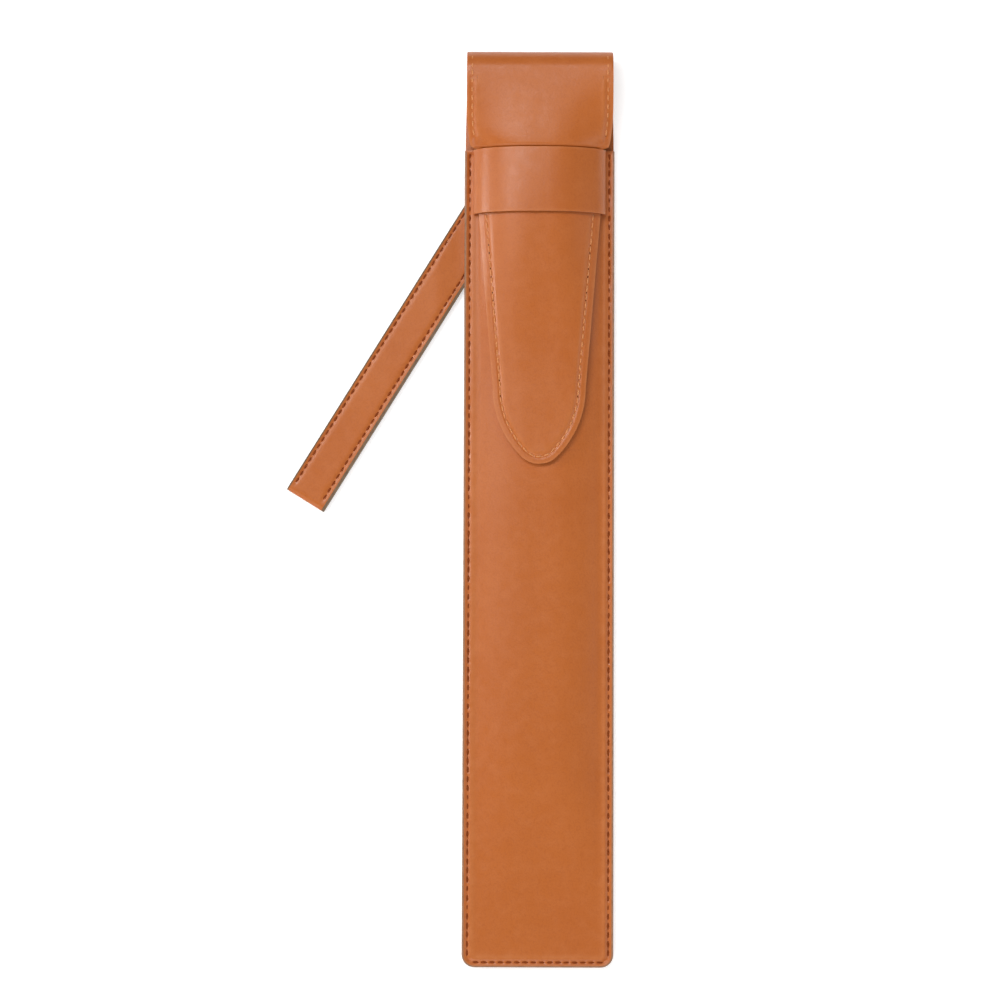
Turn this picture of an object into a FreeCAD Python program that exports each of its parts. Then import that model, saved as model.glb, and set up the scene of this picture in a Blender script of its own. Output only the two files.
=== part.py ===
import FreeCAD, Part
import math
import os
import re
import Sketcher

# A leather fountain pen case lying on its back, in millimetres.
# X runs across the case, Y along it towards the fold, Z up from the back; the origin is on the back face.

doc = FreeCAD.newDocument("pen_case")
sheet = doc.addObject("Spreadsheet::Sheet", "sizes")

# Driving dimensions: each is set by itself, the rest is worked out from them
sizes = {
    "case_width": 33.0,          # back panel and seams, side to side
    "back_length": 198.0,        # bottom edge to the start of the fold
    "corner_radius": 2.6,        # bottom corners
    "leather": 1.0,              # panel and flap leather
    "lining": 0.3,               # panel and flap lining
    "seam_margin": 3.5,          # flat margin that is sewn
    "edge_coat": 0.2,            # paint on the raw edge
    "coat_lift": 0.15,           # bare arris above and below the paint
    "mouth_drop": 17.5,          # start of the fold to the mouth of the pocket
    "pocket_rise": 4.4,          # clear height of the pocket, under a flat top
    "flat_share": 0.16,          # share of the pocket's width that is flat on top
    "close_length": 120.0,       # stretch from the bottom over which the pocket opens
    "closed_rise": 0.05,         # what is left of the pocket in the bottom seam
    "slip_gap": 0.3,             # clearance of the tongue over the front and under the band
    "flap_inset": 0.3,           # side of the flap to the side of the case
    "shoulder_inset": 0.9,       # how far each shoulder comes in by the band
    "shoulder_length": 9.0,      # curved stretch down to the shoulders
    "shoulder_droop": 4.2,       # how far the shoulders hang down at their sides
    "tongue_gap": 0.15,          # side of the tongue to the band's leg
    "tongue_taper": 3.2,         # how much each side comes in, band to the start of the tip
    "tongue_length": 70.0,       # mouth to tip
    "tip_length": 17.0,          # curved stretch of the tip
    "tip_radius": 5.6,           # round of the tip itself
    "band_height": 14.4,         # along the case
    "band_leather": 0.9,
    "band_foot_gap": 0.15,       # band's foot to the front's arch
    "thread_width": 0.45,
    "stitch_length": 1.4,
    "stitch_pitch": 2.0,         # side and bottom seams
    "stitch_inset": 1.0,         # seam thread to the edge of the panel
    "fine_pitch": 1.75,          # bottom seam, flap and strap
    "flap_stitch_inset": 1.2,
    "groove_width": 0.75,        # stitching groove in the back
    "groove_depth": 0.4,
    "strap_width": 9.6,
    "strap_reach": 67.0,         # centre of the strap, case edge to far end
    "strap_slant": 31.7,         # degrees off the length of the case
    "strap_drop": 38.5,          # start of the fold to the strap's centre at the case edge
    "strap_thick": 2.0,          # both plies
    "strap_slit": 0.1,           # between the plies
    "strap_tuck": 2.6,           # how far the tail is sewn in
    "strap_root": 2.2,           # case edge to the line the strap bends about
    "strap_bend_gap": 0.45,      # bend line to the strap, and to its tail
    "strap_stitch_inset": 1.3,
    "notch_gap": 0.2,            # tail to the cut in the linings and the edge paint
    "trim_spare": 0.5,           # how far a blank stands past the outline it is trimmed to
}
for row, (alias, value) in enumerate(sizes.items(), start=1):
    sheet.set(f"A{row}", alias)
    sheet.set(f"B{row}", str(value))
    sheet.setAlias(f"B{row}", alias)
doc.recompute()

# Values worked out from the driving dimensions
derived = {
    "half_width": "case_width / 2",
    "bottom_y": "-back_length / 2",
    "fold_y": "back_length / 2",
    "mouth_y": "fold_y - mouth_drop",
    "band_low": "mouth_y - band_height",
    "tip_y": "mouth_y - tongue_length",
    "pocket_floor": "leather + lining",
    "seam_top": "pocket_floor + lining + leather",
    "arch_half": "half_width - seam_margin",
    # heights of each layer over the pocket's arch
    "front_over": "lining + leather",
    "flap_under": "front_over + slip_gap",
    "flap_middle": "flap_under + lining",
    "flap_over": "flap_middle + leather",
    "band_under": "flap_over + slip_gap",
    "band_over": "band_under + band_leather",
    # heights of each layer over the back, along the middle of the case
    "pocket_top": "pocket_floor + pocket_rise",
    "flap_top": "pocket_top + flap_over",
    "fold_radius": "flap_top / 2",
    "flap_half": "half_width - flap_inset",
    "shoulder_half": "flap_half - shoulder_inset",
    "shoulder_y": "mouth_y + slip_gap",
    "shoulder_start_y": "mouth_y + shoulder_length",
    "shoulder_down": "shoulder_start_y - shoulder_y",
    "shoulder_bend": "(shoulder_inset ^ 2 + shoulder_down ^ 2) / (2 * shoulder_inset)",
    # the pocket has a flat top between two round sides, and the band's legs stand just outside them
    "top_half": "arch_half * flat_share",
    "side_reach": "arch_half - top_half",
    "side_radius": "(side_reach ^ 2 + pocket_rise ^ 2) / (2 * pocket_rise)",
    "front_drop": "front_over + side_radius - pocket_rise",
    "front_foot": "top_half + sqrt((side_radius + front_over) ^ 2 - front_drop ^ 2)",
    "foot_in": "front_foot + band_foot_gap",
    "foot_out": "foot_in + band_leather",
    "blank_half": "shoulder_half + trim_spare",
    "droop_reach": "blank_half - top_half",
    "droop_radius": "(droop_reach ^ 2 + shoulder_droop ^ 2) / (2 * shoulder_droop)",
    "tongue_half": "foot_in - tongue_gap",
    "end_half": "tongue_half - tongue_taper",
    "end_y": "tip_y + tip_length",
    "tip_rise": "tip_length - tip_radius",
    # flank of the tip: an arc that runs smoothly into the round of the tip
    "flank_radius": "(end_half ^ 2 + tip_rise ^ 2 - tip_radius ^ 2) / (2 * (end_half - tip_radius))",
    "flank_share": "flank_radius / (flank_radius - tip_radius)",
    "flank_x": "end_half - flank_radius + flank_share * (flank_radius - end_half)",
    "flank_y": "end_y - flank_share * tip_rise",
    # the strap leaves the left edge on a slant and bends about a line along that edge
    "slant": "strap_slant * 1 deg",
    "strap_half": "strap_width / 2",
    "strap_edge_half": "strap_half / sin(slant)",
    "strap_y": "fold_y - strap_drop",
    "bend_x": "-half_width - strap_root",
    "bend_y": "strap_y - strap_root / tan(slant)",
    "tail_out_x": "bend_x + strap_bend_gap",
    "tail_in_x": "strap_tuck - half_width",
    "tail_out_y": "strap_y + (tail_out_x + half_width) / tan(slant)",
    "tail_in_y": "strap_y + strap_tuck / tan(slant)",
    "notch_low": "strap_y - strap_edge_half - notch_gap",
    "notch_high": "tail_in_y + strap_edge_half + notch_gap",
    "strap_end": "strap_root / sin(slant) - strap_reach",
    "strap_start": "-strap_bend_gap / sin(slant)",
    "strap_start_left": "strap_start + strap_half / tan(slant)",
    "strap_start_right": "strap_start - strap_half / tan(slant)",
    "strap_ply": "(strap_thick - strap_slit) / 2",
}


def formula(words):
    # A formula in full: each name becomes its cell or the formula it stands for
    def meaning(found):
        name = found.group(0)
        if name in sizes:
            return "sizes." + name
        if name in derived:
            return "(" + formula(derived[name]) + ")"
        return name
    return re.sub(r"[a-z_][a-z_0-9]*", meaning, words)


def measure(words):
    return float(sheet.evalExpression(formula(words)))


def bind(thing, where, words):
    thing.setExpression(where, formula(words))


def new_body(name):
    body = doc.addObject("PartDesign::Body", name)
    body.Label = name
    return body


def origin_plane(body, role):
    return next(plane for plane in body.Origin.OriginFeatures if plane.Role == role)


def arc_between(start, end, radius, turn):
    # Counter-clockwise arc of a given radius; turn +1 keeps its centre left of the way from start to end
    chord = end - start
    middle = (start + end) / 2
    to_left = FreeCAD.Vector(-chord.y, chord.x, 0) / chord.Length
    reach = math.sqrt(max(radius ** 2 - (chord.Length / 2) ** 2, 0))
    centre = middle + to_left * reach * turn
    first, last = (start, end) if turn > 0 else (end, start)
    first_angle = math.atan2(first.y - centre.y, first.x - centre.x)
    last_angle = math.atan2(last.y - centre.y, last.x - centre.x)
    circle = Part.Circle(centre, FreeCAD.Vector(0, 0, 1), radius)
    return Part.ArcOfCircle(circle, first_angle, last_angle)


def outline(body, name, role, corners, bends=None, level="0"):
    # A closed sketch through the corners, each bound to its formulas; bends holds {side: (radius, turn)}
    bends = bends or {}
    sketch = body.newObject("Sketcher::SketchObject", name)
    sketch.AttachmentSupport = (origin_plane(body, role), [""])
    sketch.MapMode = "FlatFace"
    bind(sketch, ".AttachmentOffset.Base.z", level)
    places = [FreeCAD.Vector(measure(across), measure(along), 0) for across, along in corners]
    count = len(corners)
    ends = []
    for side in range(count):
        start, end = places[side], places[(side + 1) % count]
        if side in bends:
            radius, turn = bends[side]
            sketch.addGeometry(arc_between(start, end, measure(radius), turn), False)
            ends.append((1, 2) if turn > 0 else (2, 1))
        else:
            sketch.addGeometry(Part.LineSegment(start, end), False)
            ends.append((1, 2))
    for side in range(count):
        after = (side + 1) % count
        sketch.addConstraint(Sketcher.Constraint("Coincident", side, ends[side][1], after, ends[after][0]))
    for side, (across, along) in enumerate(corners):
        place = places[side]
        for kind, words, value in (("DistanceX", across, place.x), ("DistanceY", along, place.y)):
            number = sketch.addConstraint(Sketcher.Constraint(kind, -1, 1, side, ends[side][0], value))
            bind(sketch, f"Constraints[{number}]", words)
    for side, (radius, turn) in bends.items():
        number = sketch.addConstraint(Sketcher.Constraint("Radius", side, measure(radius)))
        bind(sketch, f"Constraints[{number}]", radius)
    return sketch


def pad(body, sketch, length, symmetric=False, backwards=False):
    feature = body.newObject("PartDesign::Pad", sketch.Name + "_pad")
    feature.Profile = sketch
    feature.SideType = "Symmetric" if symmetric else "One side"
    feature.Reversed = backwards
    bind(feature, "Length", length)
    return feature


def mirrored(corners):
    # The right half of an outline, listed from the top down, with its left half added
    left = [(f"-({across})", along) for across, along in reversed(corners)]
    return corners + left


def flat_half(rise):
    # Half width of the flat top, for a given rise of the round sides
    return f"(arch_half - sqrt(2 * side_radius * {rise} - {rise} ^ 2))"


def side_foot(rise, over):
    # Half width at which a layer's round side meets the flat seam
    drop = f"({over} + side_radius - {rise})"
    return f"({flat_half(rise)} + sqrt((side_radius + {over}) ^ 2 - {drop} ^ 2))"


def side_height(over, across):
    # Height of a layer out on its round side
    reach = f"sqrt((side_radius + {over}) ^ 2 - ({across} - top_half) ^ 2)"
    return f"(pocket_top - side_radius + {reach})"


def front_section(body, name, level, rise, under, over):
    # One cross-section of a front layer: flat margins, round sides and a flat top
    low, high = f"pocket_floor + {under}", f"pocket_floor + {over}"
    flat = flat_half(rise)
    above = mirrored([("half_width", high), (side_foot(rise, over), high), (flat, f"{high} + {rise}")])
    below = mirrored([("half_width", low), (side_foot(rise, under), low), (flat, f"{low} + {rise}")])
    inner, outer = f"side_radius + {under}", f"side_radius + {over}"
    bends = {1: (outer, 1), 3: (outer, 1), 7: (inner, -1), 9: (inner, -1)}
    return outline(body, name, "XZ_Plane", above + below[::-1], bends, f"-({level})")


def front_blank(name, under, over):
    # A front layer lofted from the mouth down to the bottom seam
    body = new_body(name)
    stations = [("mouth_y", "pocket_rise"), ("bottom_y + close_length", "pocket_rise"),
                ("bottom_y + seam_margin", "closed_rise"), ("bottom_y", "closed_rise")]
    sections = [front_section(body, f"{name}_{number}", level, rise, under, over)
                for number, (level, rise) in enumerate(stations)]
    loft = body.newObject("PartDesign::AdditiveLoft", name + "_loft")
    loft.Profile = sections[0]
    loft.Sections = sections[1:]
    loft.Ruled = True
    return body


def combine(kind, name, base, tool):
    thing = doc.addObject(kind, name)
    thing.Label = name
    thing.Base = base
    thing.Tool = tool
    return thing


def case_outline(margin):
    # Plan of the sewn case with round bottom corners, up to the fold, standing margin outside the panels
    side, foot, bend = f"half_width + {margin}", f"bottom_y - {margin}", f"corner_radius + {margin}"
    right = [(side, "fold_y"), (side, "bottom_y + corner_radius"), ("half_width - corner_radius", foot)]
    corners = mirrored(right)
    return corners, {1: (bend, -1), 3: (bend, -1)}


def box(name, low, high):
    thing = doc.addObject("Part::Box", name)
    for axis, side, start, end in zip("xyz", ("Length", "Width", "Height"), low, high):
        bind(thing, f".Placement.Base.{axis}", start)
        bind(thing, side, f"({end}) - ({start})")
    return thing


# Back panel: flat leather with a stitching groove in its outer face
back_panel = new_body("back_panel")
corners, bends = case_outline("0")
pad(back_panel, outline(back_panel, "back_plan", "XY_Plane", corners, bends), "leather")
row_x = "half_width - stitch_inset"
row_y = "bottom_y + stitch_inset"
groove_out, groove_in = f"{row_x} + groove_width / 2", f"{row_x} - groove_width / 2"
groove_low, groove_high = f"{row_y} - groove_width / 2", f"{row_y} + groove_width / 2"
groove_corners = mirrored([(groove_out, "mouth_y"), (groove_out, groove_low)])
groove_corners += mirrored([(groove_in, "mouth_y"), (groove_in, groove_high)])[::-1]
groove = back_panel.newObject("PartDesign::Pocket", "stitch_groove")
groove.Profile = outline(back_panel, "groove_plan", "XY_Plane", groove_corners)
groove.Reversed = True
bind(groove, "Length", "groove_depth")

# Linings and front panel, trimmed to the plan of the case
case_prism = new_body("case_prism")
corners, bends = case_outline("0")
pad(case_prism, outline(case_prism, "prism_plan", "XY_Plane", corners, bends), "flap_top")
strap_notch = box("strap_notch", ("-half_width - notch_gap", "notch_low", "leather"),
                  ("tail_in_x + notch_gap", "notch_high", "pocket_floor + lining"))
lining_blank = new_body("back_lining_blank")
corners, bends = case_outline("0")
pad(lining_blank, outline(lining_blank, "lining_plan", "XY_Plane", corners, bends, "leather"), "lining")
back_lining = combine("Part::Cut", "back_lining", lining_blank, strap_notch)
front_lining_whole = combine("Part::Common", "front_lining_whole",
                             front_blank("front_lining_blank", "0", "lining"), case_prism)
front_lining = combine("Part::Cut", "front_lining", front_lining_whole, strap_notch)
front_panel = combine("Part::Common", "front_panel",
                      front_blank("front_blank", "lining", "front_over"), case_prism)

# Paint on the raw edge, open where the strap comes out
coat_blank = new_body("coat_blank")
coat_corners, coat_bends = case_outline("edge_coat")
coat_corners[0] = (coat_corners[0][0], "mouth_y")
coat_corners[-1] = (coat_corners[-1][0], "mouth_y")
inner_corners, inner_bends = case_outline("0")
inner_corners[0] = (inner_corners[0][0], "mouth_y")
inner_corners[-1] = (inner_corners[-1][0], "mouth_y")
ring_corners = coat_corners + inner_corners[::-1]
ring_bends = dict(coat_bends)
ring_bends.update({len(coat_corners) + 1: ("corner_radius", 1), len(coat_corners) + 3: ("corner_radius", 1)})
coat_plan = outline(coat_blank, "coat_plan", "XY_Plane", ring_corners, ring_bends, "coat_lift")
pad(coat_blank, coat_plan, "seam_top - 2 * coat_lift")
slot_low = ("-half_width - edge_coat - notch_gap", "notch_low - edge_coat / tan(slant)",
            "leather - notch_gap / 2")
slot_high = ("notch_gap - half_width", "notch_high", "pocket_floor + lining + notch_gap / 2")
edge_coat = combine("Part::Cut", "edge_coat", coat_blank, box("coat_slot", slot_low, slot_high))

# Retaining band: an arched strip that stands on the flat seam margins
retaining_band = new_body("retaining_band")
band_outer = mirrored([("foot_out", "seam_top"), ("foot_out", side_height("band_over", "foot_out")),
                       ("top_half", "pocket_top + band_over")])
band_inner = mirrored([("foot_in", "seam_top"), ("foot_in", side_height("band_under", "foot_in")),
                       ("top_half", "pocket_top + band_under")])
band_round, band_hollow = "side_radius + band_over", "side_radius + band_under"
band_bends = {1: (band_round, 1), 3: (band_round, 1), 7: (band_hollow, -1), 9: (band_hollow, -1)}
band_corners = band_outer + band_inner[::-1]
pad(retaining_band, outline(retaining_band, "band_section", "XZ_Plane", band_corners, band_bends, "-mouth_y"),
    "band_height")

# Flap: fold, wide cover and tongue, each in leather with a lining under it
cover_prism = new_body("cover_prism")
cover_right = [("flap_half", "fold_y"), ("flap_half", "shoulder_start_y"), ("shoulder_half", "shoulder_y")]
cover_corners = mirrored(cover_right)
cover_bends = {1: ("shoulder_bend", -1), 3: ("shoulder_bend", -1)}
cover_plan = outline(cover_prism, "cover_plan", "XY_Plane", cover_corners, cover_bends)
pad(cover_prism, cover_plan, "2 * flap_top")
tongue_prism = new_body("tongue_prism")
tongue_corners = mirrored([("tongue_half", "shoulder_y"), ("tongue_half", "band_low"), ("end_half", "end_y"),
                           ("flank_x", "flank_y")])
tongue_bends = {2: ("flank_radius", -1), 3: ("tip_radius", -1), 4: ("flank_radius", -1)}
tongue_plan = outline(tongue_prism, "tongue_plan", "XY_Plane", tongue_corners, tongue_bends)
pad(tongue_prism, tongue_plan, "2 * flap_top")


def fold_layer(name, inside, outside):
    # A half tube over the top of the case, between two depths under the outer face
    body = new_body(name)
    large, small = f"fold_radius - ({outside})", f"fold_radius - ({inside})"
    corners = [("fold_y", f"fold_radius + {large}"), ("fold_y", f"fold_radius + {small}"),
               (f"fold_y + {small}", "fold_radius"), ("fold_y", f"fold_radius - ({small})"),
               ("fold_y", f"fold_radius - ({large})"), (f"fold_y + {large}", "fold_radius")]
    bends = {1: (small, -1), 2: (small, -1), 4: (large, 1), 5: (large, 1)}
    pad(body, outline(body, name + "_section", "YZ_Plane", corners, bends), "2 * flap_half", symmetric=True)
    return body


def flap_section(body, name, half, side_heights, heights, bends, level):
    # Cross-section of a flap layer, from the heights of its two faces at the sides and along the flat top
    above = mirrored([(half, side_heights[1]), ("top_half", heights[1])])
    below = mirrored([(half, side_heights[0]), ("top_half", heights[0])])
    return outline(body, name, "XZ_Plane", above + below[::-1], bends, f"-({level})")


def drooping(half, radius, offsets):
    # Heights of a layer's two faces at a drooping side, and the rounds that lead down to them
    centre = f"(pocket_top + {offsets[0]} - {radius[0]})"
    side_heights = [f"({centre} + sqrt({round_side} ^ 2 - ({half} - top_half) ^ 2))" for round_side in radius]
    bends = {0: (radius[1], 1), 2: (radius[1], 1), 4: (radius[0], -1), 6: (radius[0], -1)}
    return side_heights, bends


def cover_layer(name, under, over):
    # From flat at the fold to drooping at the shoulders
    body = new_body(name + "_blank")
    heights = [f"pocket_top + {under}", f"pocket_top + {over}"]
    rounds = [f"(droop_radius + {face} - flap_under)" for face in (under, over)]
    side_heights, bends = drooping("blank_half", rounds, (under, over))
    fold_half = "(flap_half + trim_spare)"
    flat = flap_section(body, name + "_flat", fold_half, heights, heights, None, "fold_y")
    arched = flap_section(body, name + "_arched", "blank_half", side_heights, heights, bends, "shoulder_y")
    loft = body.newObject("PartDesign::AdditiveLoft", name + "_loft")
    loft.Profile = flat
    loft.Sections = [arched]
    loft.Ruled = True
    return combine("Part::Common", name, body, cover_prism)


def tongue_layer(name, under, over):
    # Follows the front's flat top and round sides
    body = new_body(name + "_blank")
    half = "(tongue_half + trim_spare)"
    heights = [f"pocket_top + {under}", f"pocket_top + {over}"]
    rounds = [f"(side_radius + {face})" for face in (under, over)]
    side_heights, bends = drooping(half, rounds, (under, over))
    section = flap_section(body, name + "_arch", half, side_heights, heights, bends, "shoulder_y")
    pad(body, section, "shoulder_y - tip_y + trim_spare")
    return combine("Part::Common", name, body, tongue_prism)


flap_fold = fold_layer("flap_fold", "leather", "0")
flap_fold_lining = fold_layer("flap_fold_lining", "leather + lining", "leather")
flap_cover = cover_layer("flap_cover", "flap_middle", "flap_over")
flap_cover_lining = cover_layer("flap_cover_lining", "flap_under", "flap_middle")
flap_tongue = tongue_layer("flap_tongue", "flap_middle", "flap_over")
flap_tongue_lining = tongue_layer("flap_tongue_lining", "flap_under", "flap_middle")

# Strap: a strip folded double at its far end, cut along the bend line, and its skived tail in the seam
strap_tail = new_body("strap_tail")
tail_corners = [("tail_out_x", "tail_out_y + strap_edge_half"), ("tail_out_x", "tail_out_y - strap_edge_half"),
                ("tail_in_x", "tail_in_y - strap_edge_half"), ("tail_in_x", "tail_in_y + strap_edge_half")]
pad(strap_tail, outline(strap_tail, "tail_plan", "XY_Plane", tail_corners, None, "leather"), "2 * lining")
strap_strip = new_body("strap_strip")
fold_start = "strap_end + strap_thick / 2"
strip_corners = [("strap_start_left", "0"), ("strap_start_left", "strap_ply"), (fold_start, "strap_ply"),
                 (fold_start, "strap_ply + strap_slit"), ("strap_start_left", "strap_ply + strap_slit"),
                 ("strap_start_left", "strap_thick"), (fold_start, "strap_thick"),
                 ("strap_end", "strap_thick / 2"), (fold_start, "0")]
strip_bends = {6: ("strap_thick / 2", 1), 7: ("strap_thick / 2", 1)}
strip_profile = outline(strap_strip, "strip_profile", "YZ_Plane", strip_corners, strip_bends)
pad(strap_strip, strip_profile, "strap_width", symmetric=True)
root_cut = strap_strip.newObject("PartDesign::Pocket", "strap_root_cut")
cut_corners = [("strap_half", "strap_start_right"), ("strap_half", "strap_start_left"),
               ("-strap_half", "strap_start_left")]
root_cut.Profile = outline(strap_strip, "strap_root_plan", "XY_Plane", cut_corners)
root_cut.Reversed = True
bind(root_cut, "Length", "strap_thick")
strap_strip.Placement = FreeCAD.Placement(FreeCAD.Vector(), FreeCAD.Rotation(FreeCAD.Vector(0, 0, -1), 1))
bind(strap_strip, ".Placement.Base.x", "bend_x")
bind(strap_strip, ".Placement.Base.y", "bend_y")
bind(strap_strip, ".Placement.Rotation.Angle", "slant")
doc.recompute()


def stitch(place, along, out):
    # One half-round stitch lying on a surface, its flat side down
    side = out.cross(along).normalize()
    up = along.cross(side).normalize()
    ahead = along / along.Length
    start = place - ahead * measure("stitch_length / 2")
    frame = FreeCAD.Matrix(side.x, up.x, ahead.x, start.x, side.y, up.y, ahead.y, start.y,
                           side.z, up.z, ahead.z, start.z, 0, 0, 0, 1)
    thread = Part.makeCylinder(measure("thread_width / 2"), measure("stitch_length"), FreeCAD.Vector(),
                               FreeCAD.Vector(0, 0, 1), 180)
    thread.Placement = FreeCAD.Placement(frame)
    return thread


def straight_row(name, first, last, out, pitch="stitch_pitch"):
    # Stitches spread evenly between two points
    length = (last - first).Length
    count = max(int(length / measure(pitch)), 1)
    step = (last - first) / count
    stitches = [stitch(first + step * (number + 0.5), step, out) for number in range(count)]
    row = doc.addObject("Part::Feature", name)
    row.Label = name
    row.Shape = Part.makeCompound(stitches)
    return row


rows = []
up, down = FreeCAD.Vector(0, 0, 1), FreeCAD.Vector(0, 0, -1)
seam_rows = (("front", "seam_top", "seam_top + closed_rise", up),
             ("back", "groove_depth", "groove_depth", down))
for face, level, bottom_level, out in seam_rows:
    seam_x, seam_y = measure(row_x), measure(row_y)
    seam_z, bottom_z = measure(level), measure(bottom_level)
    top_y, corner_gap = measure("mouth_y"), measure("stitch_pitch / 2")
    for side, across in (("left", -seam_x), ("right", seam_x)):
        low = FreeCAD.Vector(across, seam_y + corner_gap, seam_z)
        rows.append(straight_row(f"{face}_stitches_{side}", low, FreeCAD.Vector(across, top_y, seam_z), out))
    left = FreeCAD.Vector(corner_gap - seam_x, seam_y, bottom_z)
    right = FreeCAD.Vector(seam_x - corner_gap, seam_y, bottom_z)
    rows.append(straight_row(f"{face}_stitches_bottom", left, right, out, "fine_pitch"))

for side, sign in (("left", -1), ("right", 1)):
    across = f"{sign} * (strap_half - strap_stitch_inset)"
    strap_x, strap_z = measure(across), measure("strap_thick")
    first = FreeCAD.Vector(strap_x, measure("strap_end + strap_thick"), strap_z)
    last = FreeCAD.Vector(strap_x, measure(f"strap_start - {across} / tan(slant) - stitch_pitch"), strap_z)
    row = straight_row(f"strap_stitches_{side}", first, last, up, "fine_pitch")
    row.Placement = strap_strip.Placement
    rows.append(row)


def surface_point(shape, across, along):
    # Highest point of a piece above a place in the plan
    line = Part.makeLine((across, along, -1), (across, along, measure("2 * flap_top")))
    crossing = shape.common(line)
    height = max(vertex.Z for vertex in crossing.Vertexes)
    return FreeCAD.Vector(across, along, height)


def surface_row(name, piece, edges):
    # Stitches spread evenly along a plan curve and laid on a curved piece
    path = Part.Wire(Part.__sortEdges__(edges))
    count = max(int(path.Length / measure("fine_pitch")), 1)
    marks = path.discretize(Number=2 * count + 1)
    feel = measure("thread_width / 2")
    stitches = []
    for number in range(1, 2 * count, 2):
        spot = marks[number]
        way = marks[number + 1] - marks[number - 1]
        way = way / way.Length
        aside = FreeCAD.Vector(-way.y, way.x, 0)
        ahead, behind = spot + way * feel, spot - way * feel
        left, right = spot + aside * feel, spot - aside * feel
        along = surface_point(piece.Shape, ahead.x, ahead.y) - surface_point(piece.Shape, behind.x, behind.y)
        across = surface_point(piece.Shape, left.x, left.y) - surface_point(piece.Shape, right.x, right.y)
        out = along.cross(across)
        stitches.append(stitch(surface_point(piece.Shape, spot.x, spot.y), along, out))
    row = doc.addObject("Part::Feature", name)
    row.Label = name
    row.Shape = Part.makeCompound(stitches)
    return row


def inset_edges(sketch):
    # The edges of a plan, moved in to the line of its stitching
    return Part.Wire(Part.__sortEdges__(sketch.Shape.Edges)).makeOffset2D(-measure("flap_stitch_inset")).Edges


cover_edges = inset_edges(cover_plan)
side_edges = [edge for edge in cover_edges if edge.BoundBox.YLength > edge.BoundBox.XLength]
for side, sign in (("left", -1), ("right", 1)):
    edges = [edge for edge in side_edges if edge.CenterOfMass.x * sign > 0]
    rows.append(surface_row(f"flap_stitches_{side}", flap_cover, edges))
tongue_edges = inset_edges(tongue_plan)
top_y = max(edge.BoundBox.YMax for edge in tongue_edges)
tongue_edges = [edge for edge in tongue_edges if edge.BoundBox.YMin < top_y - measure("flap_stitch_inset")]
rows.append(surface_row("tongue_stitches", flap_tongue, tongue_edges))
doc.recompute()

# Check every object, then write each piece to its own file
nodes = [back_panel, back_lining, front_panel, front_lining, retaining_band, edge_coat, flap_fold,
         flap_fold_lining, flap_cover, flap_cover_lining, flap_tongue, flap_tongue_lining, strap_strip,
         strap_tail] + rows
for thing in doc.Objects:
    if "Invalid" in thing.State or "Error" in thing.State:
        raise RuntimeError(f"{thing.Label} did not recompute: {thing.State}")
for node in nodes:
    if node.Shape.isNull() or not node.Shape.isValid() or not node.Shape.Solids:
        raise RuntimeError(f"{node.Label} is not a valid solid")
os.makedirs("parts", exist_ok=True)
for node in nodes:
    node.Shape.exportStep(f"parts/{node.Label}.step")
    bounds = node.Shape.BoundBox
    print(f"{node.Label}: {len(node.Shape.Solids)} solids, {node.Shape.Volume:.1f} mm3, "
          f"x {bounds.XMin:.2f}..{bounds.XMax:.2f} y {bounds.YMin:.2f}..{bounds.YMax:.2f} "
          f"z {bounds.ZMin:.2f}..{bounds.ZMax:.2f}")
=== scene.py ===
import math
import random

import bmesh
import bpy
from mathutils import Matrix, Vector, kdtree, noise


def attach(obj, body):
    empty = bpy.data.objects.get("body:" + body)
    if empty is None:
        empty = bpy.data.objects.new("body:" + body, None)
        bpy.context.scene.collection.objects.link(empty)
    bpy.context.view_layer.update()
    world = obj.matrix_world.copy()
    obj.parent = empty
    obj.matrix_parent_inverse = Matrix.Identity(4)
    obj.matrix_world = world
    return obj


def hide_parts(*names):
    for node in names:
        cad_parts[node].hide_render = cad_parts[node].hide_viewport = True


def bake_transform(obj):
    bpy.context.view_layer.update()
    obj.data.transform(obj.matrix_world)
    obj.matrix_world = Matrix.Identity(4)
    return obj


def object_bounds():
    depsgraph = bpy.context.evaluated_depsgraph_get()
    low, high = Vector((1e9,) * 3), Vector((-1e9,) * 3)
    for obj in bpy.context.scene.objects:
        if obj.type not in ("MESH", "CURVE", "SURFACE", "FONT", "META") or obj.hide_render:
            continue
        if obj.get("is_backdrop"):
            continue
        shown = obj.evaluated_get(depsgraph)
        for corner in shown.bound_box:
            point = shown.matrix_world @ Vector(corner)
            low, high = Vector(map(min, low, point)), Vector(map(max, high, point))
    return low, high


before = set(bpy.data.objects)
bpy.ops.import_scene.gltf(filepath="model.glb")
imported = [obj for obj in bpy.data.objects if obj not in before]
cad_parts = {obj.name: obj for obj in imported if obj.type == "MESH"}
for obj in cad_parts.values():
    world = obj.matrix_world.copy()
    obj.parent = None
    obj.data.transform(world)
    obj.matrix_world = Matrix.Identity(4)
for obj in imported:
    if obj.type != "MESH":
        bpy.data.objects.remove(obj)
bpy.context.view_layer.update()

scene = bpy.context.scene
scene.view_settings.view_transform = "Standard"
dice = random.Random(7)

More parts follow.
